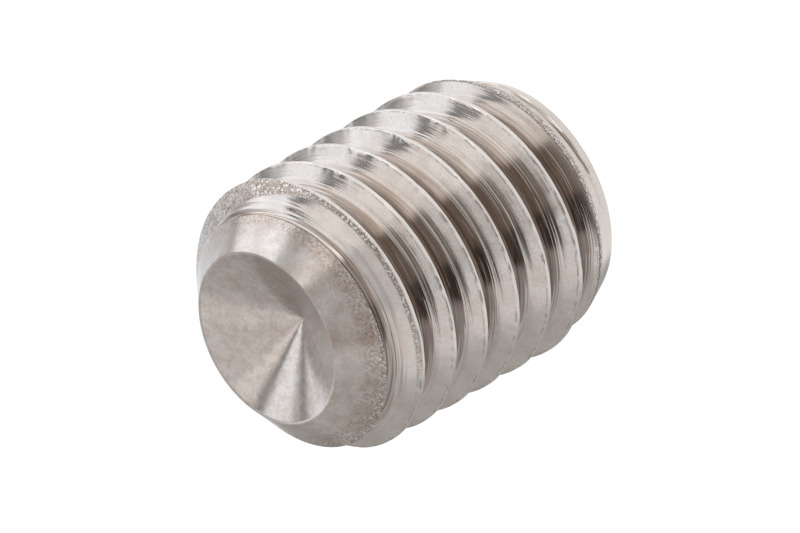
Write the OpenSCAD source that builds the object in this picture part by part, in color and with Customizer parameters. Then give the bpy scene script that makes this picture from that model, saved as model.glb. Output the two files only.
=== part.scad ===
// Socket set screw with a cup point, metric coarse thread, right hand.
// One piece: it stands on its socket end with the cup point up.
// Origin: centre of the socket-end face, +Z along the axis to the cup point.
// All sizes are in millimetres.

/* [Overall] */
// Length from the socket-end face to the rim of the cup
screw_len = 10; // [8:0.5:25]
// Outside diameter of the thread
thread_d = 8; // [6.6:0.1:10]

/* [Thread] */
// Distance between neighbouring turns, along the axis
thread_pitch = 1.25; // [1:0.05:1.5]
// Flat steps in each turn of the thread's flanks
steps_per_turn = 36; // [18:6:48]

/* [Cup point] */
// Outside diameter of the rim that bites the shaft
point_d = 5; // [4:0.1:6]
// Width of the narrow flat left on the rim
rim_w = 0.04; // [0.02:0.01:0.2]
// Angle of the hollow cone, from side to side
cup_angle = 120; // [100:2:144]
// Angle between the outside of the point and the axis
point_cone = 45; // [36:1:54]

/* [Socket end] */
// Width of the chamfer around the flat face, across the axis
face_chamfer = 0.6; // [0.3:0.05:0.8]
// Angle between that chamfer and the axis
face_cone = 24; // [20:1:50]

/* [Hexagon socket] */
// Distance between opposite flats of the socket
socket_af = 4; // [3:0.1:4.8]
// Depth of the flats
socket_depth = 5; // [3:0.1:6]
// Diameter of the hole drilled before the hexagon was pressed
drill_d = 3.9; // [2.9:0.1:4]
// Angle of the drilled cone at the bottom, from side to side
drill_angle = 120; // [110:2:144]
// Angle between the socket's lead-in and the axis
lead_cone = 45; // [36:1:54]
// Width of the lead-in past the corners of the hexagon
lead_w = 0.1; // [0.05:0.01:0.2]

/* [Hidden] */
steel = [0.72, 0.70, 0.68];
round_steps = 120;
hexagon_sides = 6;
half_turn = 180;
full_turn = 360;
over = 0.5;

// Metric thread form: 60 degree flanks, a flat of an eighth of the pitch on
// top, and a groove 0.6134 of the pitch deep.
flank_angle = 60;
crest_share = 0.125;
depth_share = 0.6134;
crest_w = crest_share * thread_pitch;
thread_depth = depth_share * thread_pitch;
thread_r = thread_d / 2;
core_r = thread_r - thread_depth;

point_r = point_d / 2;
cup_r = point_r - rim_w;
cup_depth = cup_r / tan(cup_angle / 2);
point_len = (thread_r - point_r) / tan(point_cone);
face_r = thread_r - face_chamfer;
face_len = face_chamfer / tan(face_cone);

flat_r = socket_af / 2;
corner_r = flat_r / cos(half_turn / hexagon_sides);
lead_r = corner_r + lead_w;
lead_len = (lead_r - flat_r) / tan(lead_cone);
drill_r = min(drill_d / 2, flat_r);
drill_len = drill_r / tan(drill_angle / 2);

// The turns are one bar wound on the core. Its foot is sunk into the core and
// its top stands proud, to be cut back to the outline of the blank.
sunk = 0.08;
proud = 0.1;
foot_r = core_r - sunk;
top_r = thread_r + proud;
flank_slope = tan(flank_angle / 2);
foot_half = crest_w / 2 + (thread_r - foot_r) * flank_slope;
top_half = crest_w / 2 - proud * flank_slope;
spare_turns = 2;
bar_turns = ceil(screw_len / thread_pitch) + spare_turns;
bar_steps = bar_turns * steps_per_turn;
bar_sides = 4;

module turn_bar() {
    corners = [
        [foot_r, -foot_half],
        [top_r, -top_half],
        [top_r, top_half],
        [foot_r, foot_half]
    ];
    points = [
        for (i = [0 : bar_steps])
            let (a = i * full_turn / steps_per_turn)
            let (z = (i / steps_per_turn - 1) * thread_pitch)
            for (c = corners)
                [c[0] * cos(a), c[0] * sin(a), z + c[1]]
    ];
    sides = [
        for (i = [0 : bar_steps - 1])
            for (k = [0 : bar_sides - 1])
                let (p = i * bar_sides + k)
                let (q = i * bar_sides + (k + 1) % bar_sides)
                for (f = [[p, q, q + bar_sides], [p, q + bar_sides, p + bar_sides]])
                    f
    ];
    last = bar_steps * bar_sides;
    ends = [
        [0, 2, 1],
        [0, 3, 2],
        [last, last + 1, last + 2],
        [last, last + 2, last + 3]
    ];
    polyhedron(points = points, faces = concat(sides, ends));
}

module core() {
    translate([0, 0, -over])
        cylinder(h = screw_len + 2 * over, r = core_r, $fn = round_steps);
}

module blank() {
    rotate_extrude($fn = round_steps)
        polygon([
            [0, 0],
            [face_r, 0],
            [thread_r, face_len],
            [thread_r, screw_len - point_len],
            [point_r, screw_len],
            [0, screw_len]
        ]);
}

module cup() {
    spread = over * tan(cup_angle / 2);
    translate([0, 0, screw_len - cup_depth])
        cylinder(h = cup_depth + over, r1 = 0, r2 = cup_r + spread, $fn = round_steps);
}

module hexagon_socket() {
    translate([0, 0, -over])
        cylinder(h = socket_depth + over, r = corner_r, $fn = hexagon_sides);
    rotate_extrude($fn = round_steps)
        polygon([
            [0, socket_depth - over],
            [drill_r, socket_depth - over],
            [drill_r, socket_depth],
            [0, socket_depth + drill_len]
        ]);
    rotate_extrude($fn = round_steps)
        polygon([
            [0, -over],
            [lead_r + over * tan(lead_cone), -over],
            [flat_r, lead_len],
            [0, lead_len]
        ]);
}

module set_screw() {
    color(steel)
        difference() {
            intersection() {
                union() {
                    core();
                    turn_bar();
                }
                blank();
            }
            cup();
            hexagon_socket();
        }
}

set_screw();
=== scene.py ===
import math

import bpy
import numpy as np
from mathutils import Matrix, Vector


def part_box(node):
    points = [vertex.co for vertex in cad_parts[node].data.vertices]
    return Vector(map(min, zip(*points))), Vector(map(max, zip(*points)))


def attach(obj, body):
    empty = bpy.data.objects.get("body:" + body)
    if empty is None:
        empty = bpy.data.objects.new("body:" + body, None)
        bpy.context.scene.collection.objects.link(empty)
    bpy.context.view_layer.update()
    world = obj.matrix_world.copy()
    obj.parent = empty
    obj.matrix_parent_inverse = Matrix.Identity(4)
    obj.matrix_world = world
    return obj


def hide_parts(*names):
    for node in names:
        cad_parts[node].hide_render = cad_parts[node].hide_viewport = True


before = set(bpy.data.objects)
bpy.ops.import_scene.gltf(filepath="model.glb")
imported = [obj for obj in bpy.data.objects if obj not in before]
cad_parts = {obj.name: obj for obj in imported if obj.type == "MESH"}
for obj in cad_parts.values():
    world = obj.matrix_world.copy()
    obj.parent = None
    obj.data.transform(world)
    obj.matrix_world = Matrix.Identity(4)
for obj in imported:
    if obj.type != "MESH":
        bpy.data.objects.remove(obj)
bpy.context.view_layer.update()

MM = 0.001
low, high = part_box("set_screw")
middle = Vector(((low.x + high.x) / 2, (low.y + high.y) / 2, low.z))

# ---------------------------------------------------------------- sizes, mm
LENGTH = (high.z - low.z) / MM
THREAD_R = (high.x - low.x) / 2 / MM
PITCH = 1.25
CREST_W = PITCH / 8
CREST_FLAT = 0.1                        # the flat that is left where the crest is sharp
SHARP_FROM = (1.0, 3.5)                 # the crest narrows to that flat between these heights
ROOT_ROUND = 0.144 * PITCH
CORE_R = THREAD_R - 0.6134 * PITCH
POINT_R = 2.5
RIM_W = 0.04
CUP_HALF = math.radians(60)
POINT_CONE = math.tan(math.radians(45))
FACE_R = THREAD_R - 0.6
FACE_CONE = math.tan(math.radians(24))
SOCKET_FLAT_R = 2.0
SOCKET_DEPTH = 5.0
DRILL_R = 1.95
DRILL_HALF = math.radians(60)
LEAD_W = 0.1
BAND_R = CORE_R + 0.12                  # a cut turn is crumpled outside this radius
BAND_PIT = 0.009                        # depth of the crumpling
FACE_BAND_R = 3.74                      # the same on the socket end's cone
RAG = 0.0196                            # how far the crest's point side wanders

RUN_OUT = (0.3, 0.65)                   # the groove fades out between these heights

COLUMNS = 360
FLANK_STEPS = 6
CUP_RINGS = (1.0, 0.98, 0.9, 0.78, 0.66, 0.54, 0.42, 0.3, 0.18, 0.08, 0.03)
SOCKET_RINGS = (1.4, 2.8, 4.0, SOCKET_DEPTH)
DRILL_RINGS = (1.0, 0.5, 0.2)
SHARP_ANGLE = math.radians(32)
FLANK_ANGLE = math.radians(30)


# ------------------------------------------------------------ outer surface
def crest_half(z):
    """Half the crest's flat, which is widest near the socket end."""
    share = np.clip((z - SHARP_FROM[0]) / (SHARP_FROM[1] - SHARP_FROM[0]), 0.0, 1.0)
    return (CREST_W + (CREST_FLAT - CREST_W) * share) / 2


def thread_radius(x, z):
    """Radius of the thread at distance x from the middle of a turn, at height z."""
    x = np.abs(x)
    flat = crest_half(z)
    foot = PITCH / 2 - ROOT_ROUND * math.cos(FLANK_ANGLE)
    foot_r = CORE_R + ROOT_ROUND / 2
    flank = THREAD_R - (THREAD_R - foot_r) * (x - flat) / (foot - flat)
    root = CORE_R + ROOT_ROUND - np.sqrt(np.maximum(ROOT_ROUND**2 - (PITCH / 2 - x)**2, 0.0))
    return np.minimum(np.where(x > foot, root, flank), THREAD_R)


def cone_radius(z):
    """Radius of the blank's two end cones."""
    point = POINT_R + (LENGTH - z) * POINT_CONE
    face = FACE_R + z * FACE_CONE
    return np.minimum(point, face)


def run_out(r, z):
    """The groove filled up to the socket end's cone, near that end."""
    share = np.clip((RUN_OUT[1] - z) / (RUN_OUT[1] - RUN_OUT[0]), 0.0, 1.0)
    share = share * share * (3 - 2 * share)
    floor = CORE_R + (cone_radius(z) - CORE_R) * share
    return np.maximum(r, floor)


def pitch_rows():
    """Places across one turn, measured from the middle of its crest."""
    reach = ROOT_ROUND * math.cos(FLANK_ANGLE)
    crest = np.array([0.0, CREST_FLAT / 4, CREST_FLAT / 2, CREST_W / 2, CREST_W * 0.7])
    flank = np.linspace(crest[-1], PITCH / 2 - reach, FLANK_STEPS + 1)[1:]
    root = PITCH / 2 - reach * np.array([0.72, 0.4, 0.0])
    half = np.concatenate([crest, flank, root])
    return np.concatenate([-half[::-1][1:-1], half])


def wander(rng, count, knots):
    """A closed run of count values from -1 to 1 that changes smoothly between knots."""
    value = rng.uniform(-1.0, 1.0, knots)
    value = np.append(value, value[0])
    return np.interp(np.linspace(0, knots, count, endpoint=False), np.arange(knots + 1), value)


def outer_grid(rng):
    """Angles of the columns, heights and radii of their rows, and how many rows make a turn."""
    rows = pitch_rows()
    turns = int(round(LENGTH / PITCH)) + 3
    base = np.concatenate([k * PITCH + rows for k in range(-1, turns - 1)])
    x = np.tile(rows, turns)[None, :]
    theta = np.arange(COLUMNS) * 2 * math.pi / COLUMNS
    z = base[None, :] + PITCH * theta[:, None] / (2 * math.pi)
    # the crest's edges wander a little, most on the point side
    per = len(rows)
    shift = np.zeros_like(z)
    for turn in range(turns):
        span = slice(turn * per, (turn + 1) * per)
        point_side = wander(rng, COLUMNS, 160) * 0.7 + wander(rng, COLUMNS, 45)
        face_side = wander(rng, COLUMNS, 160) * 0.3 + wander(rng, COLUMNS, 45) * 0.5
        by_crest = np.clip(1 - np.abs(rows) / CREST_W, 0.0, 1.0) * RAG
        shift[:, span] = np.where(rows > 0, point_side[:, None], face_side[:, None]) * by_crest
    r = run_out(thread_radius(x - shift, z), z)
    return theta, z, r, per


def build_outside(rng):
    theta, z, r_thread, per = outer_grid(rng)
    count = z.shape[1]
    inside = (z > 0.0) & (z < LENGTH)
    z = np.clip(z, 0.0, LENGTH)
    gap = r_thread - cone_radius(z)
    r = np.minimum(r_thread, cone_radius(z))
    cut = gap > 0.0
    # where a cone cuts a turn, the nearest row moves to the cut
    for i in range(COLUMNS):
        g = gap[i]
        for j in np.nonzero(g[:-1] * g[1:] < 0)[0]:
            if not (inside[i, j] and inside[i, j + 1]):
                continue
            t = g[j] / (g[j] - g[j + 1])
            k = j if t < 0.5 else j + 1
            z[i, k] = z[i, j] + t * (z[i, j + 1] - z[i, j])
            r[i, k] = cone_radius(z[i, k])
            cut[i, k] = False
    # a cut turn is crumpled between its two edges
    pits = rng.uniform(0.0, 1.0, z.shape) ** 2
    band = cut & inside & (r > np.where(z > LENGTH / 2, BAND_R, FACE_BAND_R))
    r = np.where(band, r - BAND_PIT * pits, r)

    verts = []
    index = -np.ones((COLUMNS, count), dtype=int)
    rings = {False: [], True: []}
    for i in range(COLUMNS):
        c, s = math.cos(theta[i]), math.sin(theta[i])
        for top in (False, True):
            at_end = ~inside[i] & ((z[i] > 0.0) == top)
            radius = POINT_R if top else FACE_R
            index[i, at_end] = len(verts)
            rings[top].append(len(verts))
            verts.append((radius * c, radius * s, LENGTH if top else 0.0))
        for j in np.nonzero(inside[i])[0]:
            index[i, j] = len(verts)
            verts.append((r[i, j] * c, r[i, j] * s, z[i, j]))
    faces = []
    for i in range(COLUMNS):
        for j in range(count - 1):
            a, b = index[i, j], index[i, j + 1]
            if i < COLUMNS - 1:
                d, e = index[i + 1, j], index[i + 1, j + 1]
            else:
                # past the last column comes the first one, a turn further on
                k = min(j + per, count - 2)
                d, e = index[0, k], index[0, k + 1]
            quad = [a, d, e, b]
            clean = [q for n, q in enumerate(quad) if q != quad[n - 1]]
            if len(set(clean)) >= 3:
                faces.append(clean)
    return verts, faces, rings[True], rings[False]


# ------------------------------------------------------- cup, face and socket
def ring(verts, radius_of, height_of):
    """Adds one ring of points and gives their numbers."""
    first = len(verts)
    for i in range(COLUMNS):
        a = i * 2 * math.pi / COLUMNS
        radius = radius_of(a)
        verts.append((radius * math.cos(a), radius * math.sin(a), height_of(radius)))
    return list(range(first, first + COLUMNS))


def join(faces, one, two, up):
    for i in range(COLUMNS):
        k = (i + 1) % COLUMNS
        quad = [one[i], one[k], two[k], two[i]]
        faces.append(quad if up else quad[::-1])


def close(verts, faces, last, height, up):
    """Closes a ring to a point on the axis."""
    verts.append((0.0, 0.0, height))
    for i in range(COLUMNS):
        edge = [last[i], last[(i + 1) % COLUMNS]]
        faces.append((edge if up else edge[::-1]) + [len(verts) - 1])


def hexagon(a):
    """Distance from the axis to the socket's wall in direction a."""
    step = math.pi / 3
    off = a % step - step / 2
    return SOCKET_FLAT_R / math.cos(off)


def build_cup(verts, faces, rim):
    cup_r = POINT_R - RIM_W
    depth = cup_r / math.tan(CUP_HALF)
    last = rim
    for share in CUP_RINGS:
        now = ring(verts, lambda a: cup_r * share, lambda r: LENGTH - depth * (1 - r / cup_r))
        join(faces, last, now, True)
        last = now
    close(verts, faces, last, LENGTH - depth, True)


def build_socket(verts, faces, face_ring):
    lead_r = SOCKET_FLAT_R / math.cos(math.pi / 6) + LEAD_W
    drill_rise = 1 / math.tan(DRILL_HALF)
    last = face_ring
    rings = [(lambda a: lead_r, lambda r: 0.0), (hexagon, lambda r: lead_r - r)]
    for depth in SOCKET_RINGS:
        rings.append((hexagon, lambda r, depth=depth: depth))
    for share in DRILL_RINGS:
        rings.append((lambda a, share=share: DRILL_R * share,
                      lambda r: SOCKET_DEPTH + (DRILL_R - r) * drill_rise))
    for radius_of, height_of in rings:
        now = ring(verts, radius_of, height_of)
        join(faces, last, now, False)
        last = now
    close(verts, faces, last, SOCKET_DEPTH + DRILL_R * drill_rise, False)


# ------------------------------------------------------------- shader nodes
def put(tree, value, socket):
    """Sets a socket to a number or colour, or links another socket to it."""
    if isinstance(value, bpy.types.NodeSocket):
        tree.links.new(value, socket)
    else:
        socket.default_value = value


def math_node(tree, operation, *values):
    node = tree.nodes.new("ShaderNodeMath")
    node.operation = operation
    for n, value in enumerate(values):
        put(tree, value, node.inputs[n])
    return node.outputs[0]


def total(tree, first, *others):
    for other in others:
        first = math_node(tree, "ADD", first, other)
    return first


def product(tree, first, *others):
    for other in others:
        first = math_node(tree, "MULTIPLY", first, other)
    return first


def step(tree, value, start, end, low_value=0.0, high_value=1.0):
    """Smooth change from low_value to high_value as value goes from start to end."""
    node = tree.nodes.new("ShaderNodeMapRange")
    node.interpolation_type = "SMOOTHSTEP"
    node.inputs["From Min"].default_value = start
    node.inputs["From Max"].default_value = end
    node.inputs["To Min"].default_value = low_value
    node.inputs["To Max"].default_value = high_value
    put(tree, value, node.inputs["Value"])
    return node.outputs[0]


def combine(tree, x, y, z):
    node = tree.nodes.new("ShaderNodeCombineXYZ")
    for n, value in enumerate((x, y, z)):
        put(tree, value, node.inputs[n])
    return node.outputs[0]


def noise(tree, vector, scale, detail=2.0, w=None, roughness=0.5):
    node = tree.nodes.new("ShaderNodeTexNoise")
    node.noise_dimensions = "3D" if w is None else "4D"
    put(tree, vector, node.inputs["Vector"])
    if w is not None:
        put(tree, w, node.inputs["W"])
    node.inputs["Scale"].default_value = scale
    node.inputs["Detail"].default_value = detail
    node.inputs["Roughness"].default_value = roughness
    return node.outputs["Fac"]


def blend_colour(tree, factor, one, two):
    node = tree.nodes.new("ShaderNodeMix")
    node.data_type = "RGBA"
    put(tree, factor, node.inputs["Factor"])
    put(tree, one, node.inputs["A"])
    put(tree, two, node.inputs["B"])
    return node.outputs["Result"]


# ------------------------------------------------------------------ material
STEEL = (0.60, 0.568, 0.548, 1.0)
# brown for stains, and for the painted shade in the grooves
STAIN_AND_SHADE_BROWN = (0.38, 0.30, 0.25, 1.0)
# painted highlight on the crests and on the crumpling's raised lips
HIGHLIGHT_STEEL = (0.73, 0.715, 0.70, 1.0)
# dark brown for the worn crest, and for painted shade in the grooves and pits and under the crest's burr
SHADE_AND_WEAR_BROWN = (0.26, 0.21, 0.18, 1.0)
ROUGH = 0.085                           # the steel's roughness, and what each mark adds to it
CLOUD_ROUGH = 0.08
GRAIN_ROUGH = 0.06
CREST_ROUGH = 0.15
BAND_ROUGH = 0.06
CUP_ROUGH = 0.035
EDGE = 0.03                             # how closely a mask follows a surface
ACROSS_LINES = 15.0                     # rolled lines to a millimetre, across the thread
ALONG_LINES = 0.3
ACROSS_FINE = 34.0
ALONG_FINE = 0.5
CLOUD_SCALE = 1.6                       # noise scales, in features to a millimetre
FLECK_SCALE = 4.5
CRINKLE_SCALE = 9.5
SPECK_SCALE = 13.0
GRAIN_SCALE = 16.0
BURR_SHADOW_SCALE = 5.0
BURR_SHADOW_R = THREAD_R - 0.03                # painted shadow: a dark line under the crest's point side, where its burr would shade it
WORN_R = THREAD_R - 0.16
WORN_Z = (8.14, 8.4)                    # wear sets in between these heights
GROOVE_R = (3.42, 3.72)                 # the groove's painted shade fades out between these radii
RIM_SPECKS_R = (2.95, 3.15)
# the painted shade in the groove fades out between these heights, towards the point
SHADE_FADE_TOP = (LENGTH - 1.5, LENGTH - 1.1)
LINE_BUMP = 22.0                        # bump heights, in thousandths of a millimetre
FINE_BUMP = (3.5, 13.0)                 # on a flank, in a groove
CRINKLE_BUMP = 8.0
CUP_BUMP = 6.0
CONE_BUMP = 3.0


def less(tree, first, second):
    return math_node(tree, "SUBTRACT", first, second)


def opposite(tree, mask):
    return step(tree, mask, 0.0, 1.0, 1.0, 0.0)


def largest(tree, first, second):
    return math_node(tree, "MAXIMUM", first, second)


def near(tree, distance):
    """1 where a distance is close to nothing, 0 beyond twice the edge."""
    return step(tree, math_node(tree, "ABSOLUTE", distance), EDGE, 2 * EDGE, 1.0, 0.0)


def streaks(tree, across, x, y, z, over, along, detail, roughness):
    """Noise drawn out along the thread."""
    place = combine(tree, product(tree, across, PITCH * over),
                    product(tree, x, along), product(tree, y, along))
    return noise(tree, place, 1.0, detail, product(tree, z, along), roughness)


def steel_material():
    mat = bpy.data.materials.new("steel")
    mat.use_nodes = True
    tree = mat.node_tree
    shader = tree.nodes["Principled BSDF"]
    coords = tree.nodes.new("ShaderNodeTexCoord").outputs["Object"]
    to_mm = tree.nodes.new("ShaderNodeVectorMath")
    to_mm.operation = "SCALE"
    put(tree, coords, to_mm.inputs[0])
    to_mm.inputs["Scale"].default_value = 1 / MM
    place = to_mm.outputs[0]
    split = tree.nodes.new("ShaderNodeSeparateXYZ")
    put(tree, place, split.inputs[0])
    x, y, z = split.outputs
    radius = math_node(tree, "SQRT", total(tree, product(tree, x, x), product(tree, y, y)))
    angle = math_node(tree, "ARCTAN2", y, x)
    turns = less(tree, math_node(tree, "DIVIDE", z, PITCH), math_node(tree, "DIVIDE", angle, 2 * math.pi))
    across = less(tree, math_node(tree, "FRACT", math_node(tree, "ADD", turns, 0.5)), 0.5)

    # where on the screw a point is
    on_point = near(tree, total(tree, radius, z, -POINT_R - LENGTH))
    on_face = near(tree, less(tree, less(tree, radius, product(tree, z, FACE_CONE)), FACE_R))
    on_cone = largest(tree, on_point, on_face)
    point_band = product(tree, on_point, step(tree, radius, BAND_R - 0.05, BAND_R + 0.05))
    face_band = product(tree, on_face, step(tree, radius, FACE_BAND_R - EDGE, FACE_BAND_R + EDGE))
    hollow = step(tree, radius, POINT_R - 0.05, POINT_R - 0.02, 1.0, 0.0)
    rolled = product(tree, step(tree, radius, CORE_R - 0.2, CORE_R - 0.1), step(tree, z, 0.005, 0.02),
                     opposite(tree, on_cone))
    crest = step(tree, radius, THREAD_R - 0.02, THREAD_R - 0.005)
    point_side = step(tree, across, 0.0, 0.02)
    burr_shadow = step(tree, math_node(tree, "ABSOLUTE", less(tree, BURR_SHADOW_R, radius)), 0.01, 0.03, 1.0, 0.0)
    groove = product(tree, step(tree, radius, *GROOVE_R, 1.0, 0.0), rolled)
    away = step(tree, z, *SHADE_FADE_TOP, 1.0, 0.0)
    # the last full turn's crest is worn ragged on the point side
    worn = product(tree, step(tree, z, *WORN_Z), rolled, point_side,
                   step(tree, radius, WORN_R, WORN_R + 0.06))
    band = largest(tree, largest(tree, point_band, face_band), worn)

    # the textures: fine lines left by rolling, and marks of several sizes
    lines = streaks(tree, across, x, y, z, ACROSS_LINES, ALONG_LINES, 1.5, 0.6)
    fine_lines = streaks(tree, across, x, y, z, ACROSS_FINE, ALONG_FINE, 1.0, 0.5)
    grain = noise(tree, place, GRAIN_SCALE, 2.0)
    cloud = noise(tree, place, CLOUD_SCALE, 3.0)
    fleck = noise(tree, place, FLECK_SCALE, 5.0, None, 0.75)
    speck = noise(tree, place, SPECK_SCALE, 4.0, None, 0.75)
    crinkle = math_node(tree, "ABSOLUTE", less(tree, noise(tree, place, CRINKLE_SCALE, 3.0), 0.5))
    crinkle = step(tree, crinkle, 0.0, 0.14)

    # colour: clouded and stained, with painted shade in the grooves and pits and painted highlights on
    # the crests
    stain_and_shade_parts = (
        step(tree, cloud, 0.4, 0.65, 0.0, 0.18),
        product(tree, on_point, step(tree, cloud, 0.35, 0.6, 0.0, 0.22)),
        product(tree, step(tree, grain, 0.45, 0.65, 0.0, 0.2), opposite(tree, groove)),
        # painted shade in the groove, streaked along the fine rolled lines
        product(tree, groove, away, step(tree, fine_lines, 0.38, 0.62, 0.62, 0.0)),
    )
    colour = STEEL
    for part in stain_and_shade_parts:
        colour = blend_colour(tree, part, colour, STAIN_AND_SHADE_BROWN)
    # painted shade deep in the groove, strongest at its root
    root_shade = product(tree, away, rolled, step(tree, radius, CORE_R + 0.04, CORE_R + 0.22, 0.52, 0.0))
    colour = blend_colour(tree, root_shade, colour, SHADE_AND_WEAR_BROWN)
    # more painted shade at the groove's foot, broken up along the fine lines
    foot = product(tree, step(tree, radius, CORE_R + 0.05, CORE_R + 0.16, 0.9, 0.0), rolled,
                   step(tree, fine_lines, 0.42, 0.52, 1.0, 0.0))
    colour = blend_colour(tree, foot, colour, SHADE_AND_WEAR_BROWN)
    specks = product(tree, step(tree, speck, 0.47, 0.56, 0.0, 0.95), step(tree, radius, *RIM_SPECKS_R))
    stain = product(tree, step(tree, fleck, 0.42, 0.66), step(tree, radius, 2.6, 3.2, 0.25, 0.6))
    stained = largest(tree, product(tree, on_point, largest(tree, stain, specks)),
                      product(tree, hollow, step(tree, fleck, 0.38, 0.68), 0.5))
    colour = blend_colour(tree, stained, colour, STAIN_AND_SHADE_BROWN)
    colour = blend_colour(tree, product(tree, worn, 0.5), colour, SHADE_AND_WEAR_BROWN)
    # painted highlight on the crumpling's raised lips
    ridge_highlight = product(tree, band, step(tree, crinkle, 0.5, 1.0, 0.0, 0.65))
    colour = blend_colour(tree, ridge_highlight, colour, HIGHLIGHT_STEEL)
    patchy = largest(tree, step(tree, fleck, 0.44, 0.6, 0.2, 1.0), largest(tree, face_band, worn))
    # painted shade in the crumpling's low parts, in patches
    pit_shade = product(tree, band, step(tree, crinkle, 0.1, 0.6, 0.85, 0.0), patchy)
    colour = blend_colour(tree, pit_shade, colour, SHADE_AND_WEAR_BROWN)
    # painted shadow line under the crest's point side, ragged
    ragged = step(tree, noise(tree, place, BURR_SHADOW_SCALE, 4.0, None, 0.7), 0.45, 0.6, 0.0, 0.55)
    colour = blend_colour(tree, product(tree, burr_shadow, point_side, ragged), colour, SHADE_AND_WEAR_BROWN)
    # painted highlight along the crests
    colour = blend_colour(tree, product(tree, crest, 0.85), colour, HIGHLIGHT_STEEL)
    put(tree, colour, shader.inputs["Base Color"])
    shader.inputs["Metallic"].default_value = 1.0

    rough = total(tree, ROUGH, product(tree, cloud, CLOUD_ROUGH),
                  product(tree, grain, opposite(tree, groove), GRAIN_ROUGH),
                  product(tree, crest, CREST_ROUGH), product(tree, band, BAND_ROUGH),
                  product(tree, hollow, CUP_ROUGH))
    put(tree, rough, shader.inputs["Roughness"])

    height = total(tree, product(tree, lines, rolled, step(tree, groove, 0.0, 1.0, 0.08, 1.0), LINE_BUMP),
                   product(tree, fine_lines, rolled, step(tree, groove, 0.0, 1.0, *FINE_BUMP)),
                   product(tree, crinkle, total(tree, band, face_band), CRINKLE_BUMP),
                   product(tree, cloud, hollow, CUP_BUMP),
                   product(tree, fleck, on_cone, CONE_BUMP))
    bump = tree.nodes.new("ShaderNodeBump")
    bump.inputs["Strength"].default_value = 1.0
    bump.inputs["Distance"].default_value = 0.001 * MM
    put(tree, height, bump.inputs["Height"])
    put(tree, bump.outputs[0], shader.inputs["Normal"])
    return mat


# ------------------------------------------------------------------ the screw
def make_screw():
    rng = np.random.RandomState(8)
    verts, faces, rim, face_ring = build_outside(rng)
    build_cup(verts, faces, rim)
    build_socket(verts, faces, face_ring)
    mesh = bpy.data.meshes.new("screw_body")
    mesh.from_pydata([Vector(v) * MM + middle for v in verts], [], faces)
    mesh.polygons.foreach_set("use_smooth", [True] * len(mesh.polygons))
    mesh.set_sharp_from_angle(angle=SHARP_ANGLE)
    mesh.materials.append(steel_material())
    screw = bpy.data.objects.new("screw_body", mesh)
    bpy.context.scene.collection.objects.link(screw)
    return screw


screw = make_screw()
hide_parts("set_screw")
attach(screw, "root")


# --------------------------------------------------------------------- stage
FLOOR_R = 0.25
FLOOR_DROP = 0.01 * MM                  # keeps the floor off the socket end's face
FLOOR_GREY = 0.12
FLOOR_LIGHT = 0.97


def make_floor():
    """A white light table: mostly its own even light, with a faint shadow."""
    mat = bpy.data.materials.new("floor")
    mat.use_nodes = True
    shader = mat.node_tree.nodes["Principled BSDF"]
    shader.inputs["Base Color"].default_value = (FLOOR_GREY, FLOOR_GREY, FLOOR_GREY, 1)
    shader.inputs["Emission Color"].default_value = (1, 1, 1, 1)
    shader.inputs["Emission Strength"].default_value = FLOOR_LIGHT
    shader.inputs["Roughness"].default_value = 0.9
    place = (0, 0, low.z - FLOOR_DROP)
    bpy.ops.mesh.primitive_circle_add(vertices=96, radius=FLOOR_R, fill_type="NGON", location=place)
    floor = bpy.context.object
    floor.name = "floor"
    floor.data.materials.append(mat)
    floor.visible_glossy = False


make_floor()

# soft panels and flags round the screw, each over the ones before it:
# what it does, azimuth, elevation, half width, half height and softness in degrees,
# then brightness and colour
WARM = (1.2, 1.0, 0.85)
PLAIN = (1.03, 1.0, 0.97)
COOL = (0.97, 1.0, 1.03)
PANELS = (
    ("below", 0, -70, 180, 30, 10, 1.05, PLAIN),
    ("top", -140, 82, 70, 8, 6, 0.85, PLAIN),
    ("low_side", 97, -30, 38, 20, 8, 0.42, PLAIN),
    ("fill_low", 33, -14, 20, 22, 8, 0.95, COOL),
    ("dark_wide", -132, 22, 44, 20, 10, 0.36, WARM),
    ("dark_middle", -128, -4, 26, 12, 8, 0.3, WARM),
    ("dark_core", -166, -6, 14, 13, 6, 0.07, WARM),
    ("key_low", -52, -12, 44, 15, 8, 1.65, PLAIN),
    ("key_middle", -22, 24, 20, 18, 6, 1.55, COOL),
    ("key_high", -60, 58, 31, 13, 5, 1.18, PLAIN),
    ("key_side", -8, 44, 10, 8, 4, 1.4, COOL),
    ("flag", -24.5, 54, 3.8, 9, 1, 0.0, PLAIN),
    ("side_low", 112, 20, 26, 15, 6, 0.58, PLAIN),
    ("back_high", 145, 56, 22, 10, 8, 0.95, PLAIN),
    ("flag_low", 12, 24, 2.5, 5, 2, 0.3, PLAIN),
    ("side_fill", 28, 28, 8, 18, 6, 1.25, COOL),
    ("dark_side", 80, 4, 8, 7, 5, 0.5, PLAIN),
)
AMBIENT = 0.7


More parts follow.
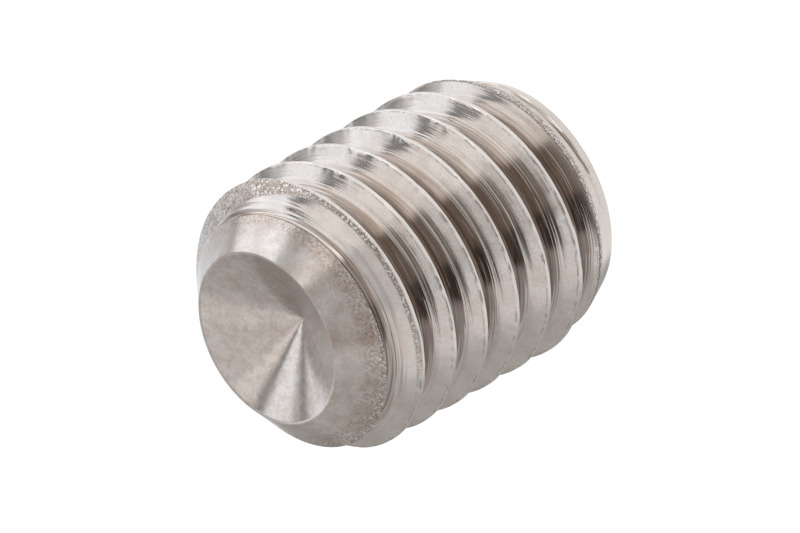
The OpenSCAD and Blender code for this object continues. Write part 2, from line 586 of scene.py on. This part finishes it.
def make_dome():
    world = bpy.data.worlds.new("studio")
    bpy.context.scene.world = world
    world.use_nodes = True
    tree = world.node_tree
    way = tree.nodes.new("ShaderNodeTexCoord").outputs["Generated"]
    split = tree.nodes.new("ShaderNodeSeparateXYZ")
    put(tree, way, split.inputs[0])
    x, y, z = split.outputs
    azimuth = math_node(tree, "ARCTAN2", y, x)
    elevation = math_node(tree, "ARCSINE", z)
    colour = (AMBIENT, AMBIENT, AMBIENT, 1.0)
    for _, az, el, wide, tall, soft, power, tint in PANELS:
        off = math_node(tree, "SUBTRACT", azimuth, math.radians(az))
        off = math_node(tree, "ABSOLUTE", math_node(tree, "WRAP", off, math.pi, -math.pi))
        side = step(tree, off, math.radians(wide), math.radians(wide + soft), 1.0, 0.0)
        rise = math_node(tree, "ABSOLUTE", math_node(tree, "SUBTRACT", elevation, math.radians(el)))
        level = step(tree, rise, math.radians(tall), math.radians(tall + soft), 1.0, 0.0)
        light = tuple(power * t for t in tint) + (1.0,)
        colour = blend_colour(tree, product(tree, side, level), colour, light)
    background = tree.nodes["Background"]
    put(tree, colour, background.inputs["Color"])
    background.inputs["Strength"].default_value = 1.0


make_dome()

# -------------------------------------------------------------------- camera
AZIMUTH = math.radians(-127.3)
ELEVATION = math.radians(39.24)
ROLL = math.radians(119.16)
DISTANCE = 403.4 * MM
LENS = 675.0
AIM = Vector((-0.11, -0.05, 4.87)) * MM


def make_camera():
    back = Vector((
        math.cos(AZIMUTH) * math.cos(ELEVATION),
        math.sin(AZIMUTH) * math.cos(ELEVATION),
        math.sin(ELEVATION),
    ))
    data = bpy.data.cameras.new("camera")
    data.lens = LENS
    data.sensor_width = 36.0
    data.clip_start = 0.05
    data.clip_end = 5.0
    camera = bpy.data.objects.new("camera", data)
    bpy.context.scene.collection.objects.link(camera)
    bpy.context.scene.camera = camera
    up = (Vector((0, 0, 1)) - back * back.z).normalized()
    right = up.cross(back)
    rolled_up = up * math.cos(ROLL) + right * math.sin(ROLL)
    turn = Matrix((rolled_up.cross(back), rolled_up, back)).transposed()
    camera.matrix_world = Matrix.Translation(AIM + middle + back * DISTANCE) @ turn.to_4x4()


make_camera()
bpy.context.scene.view_settings.view_transform = "Standard"
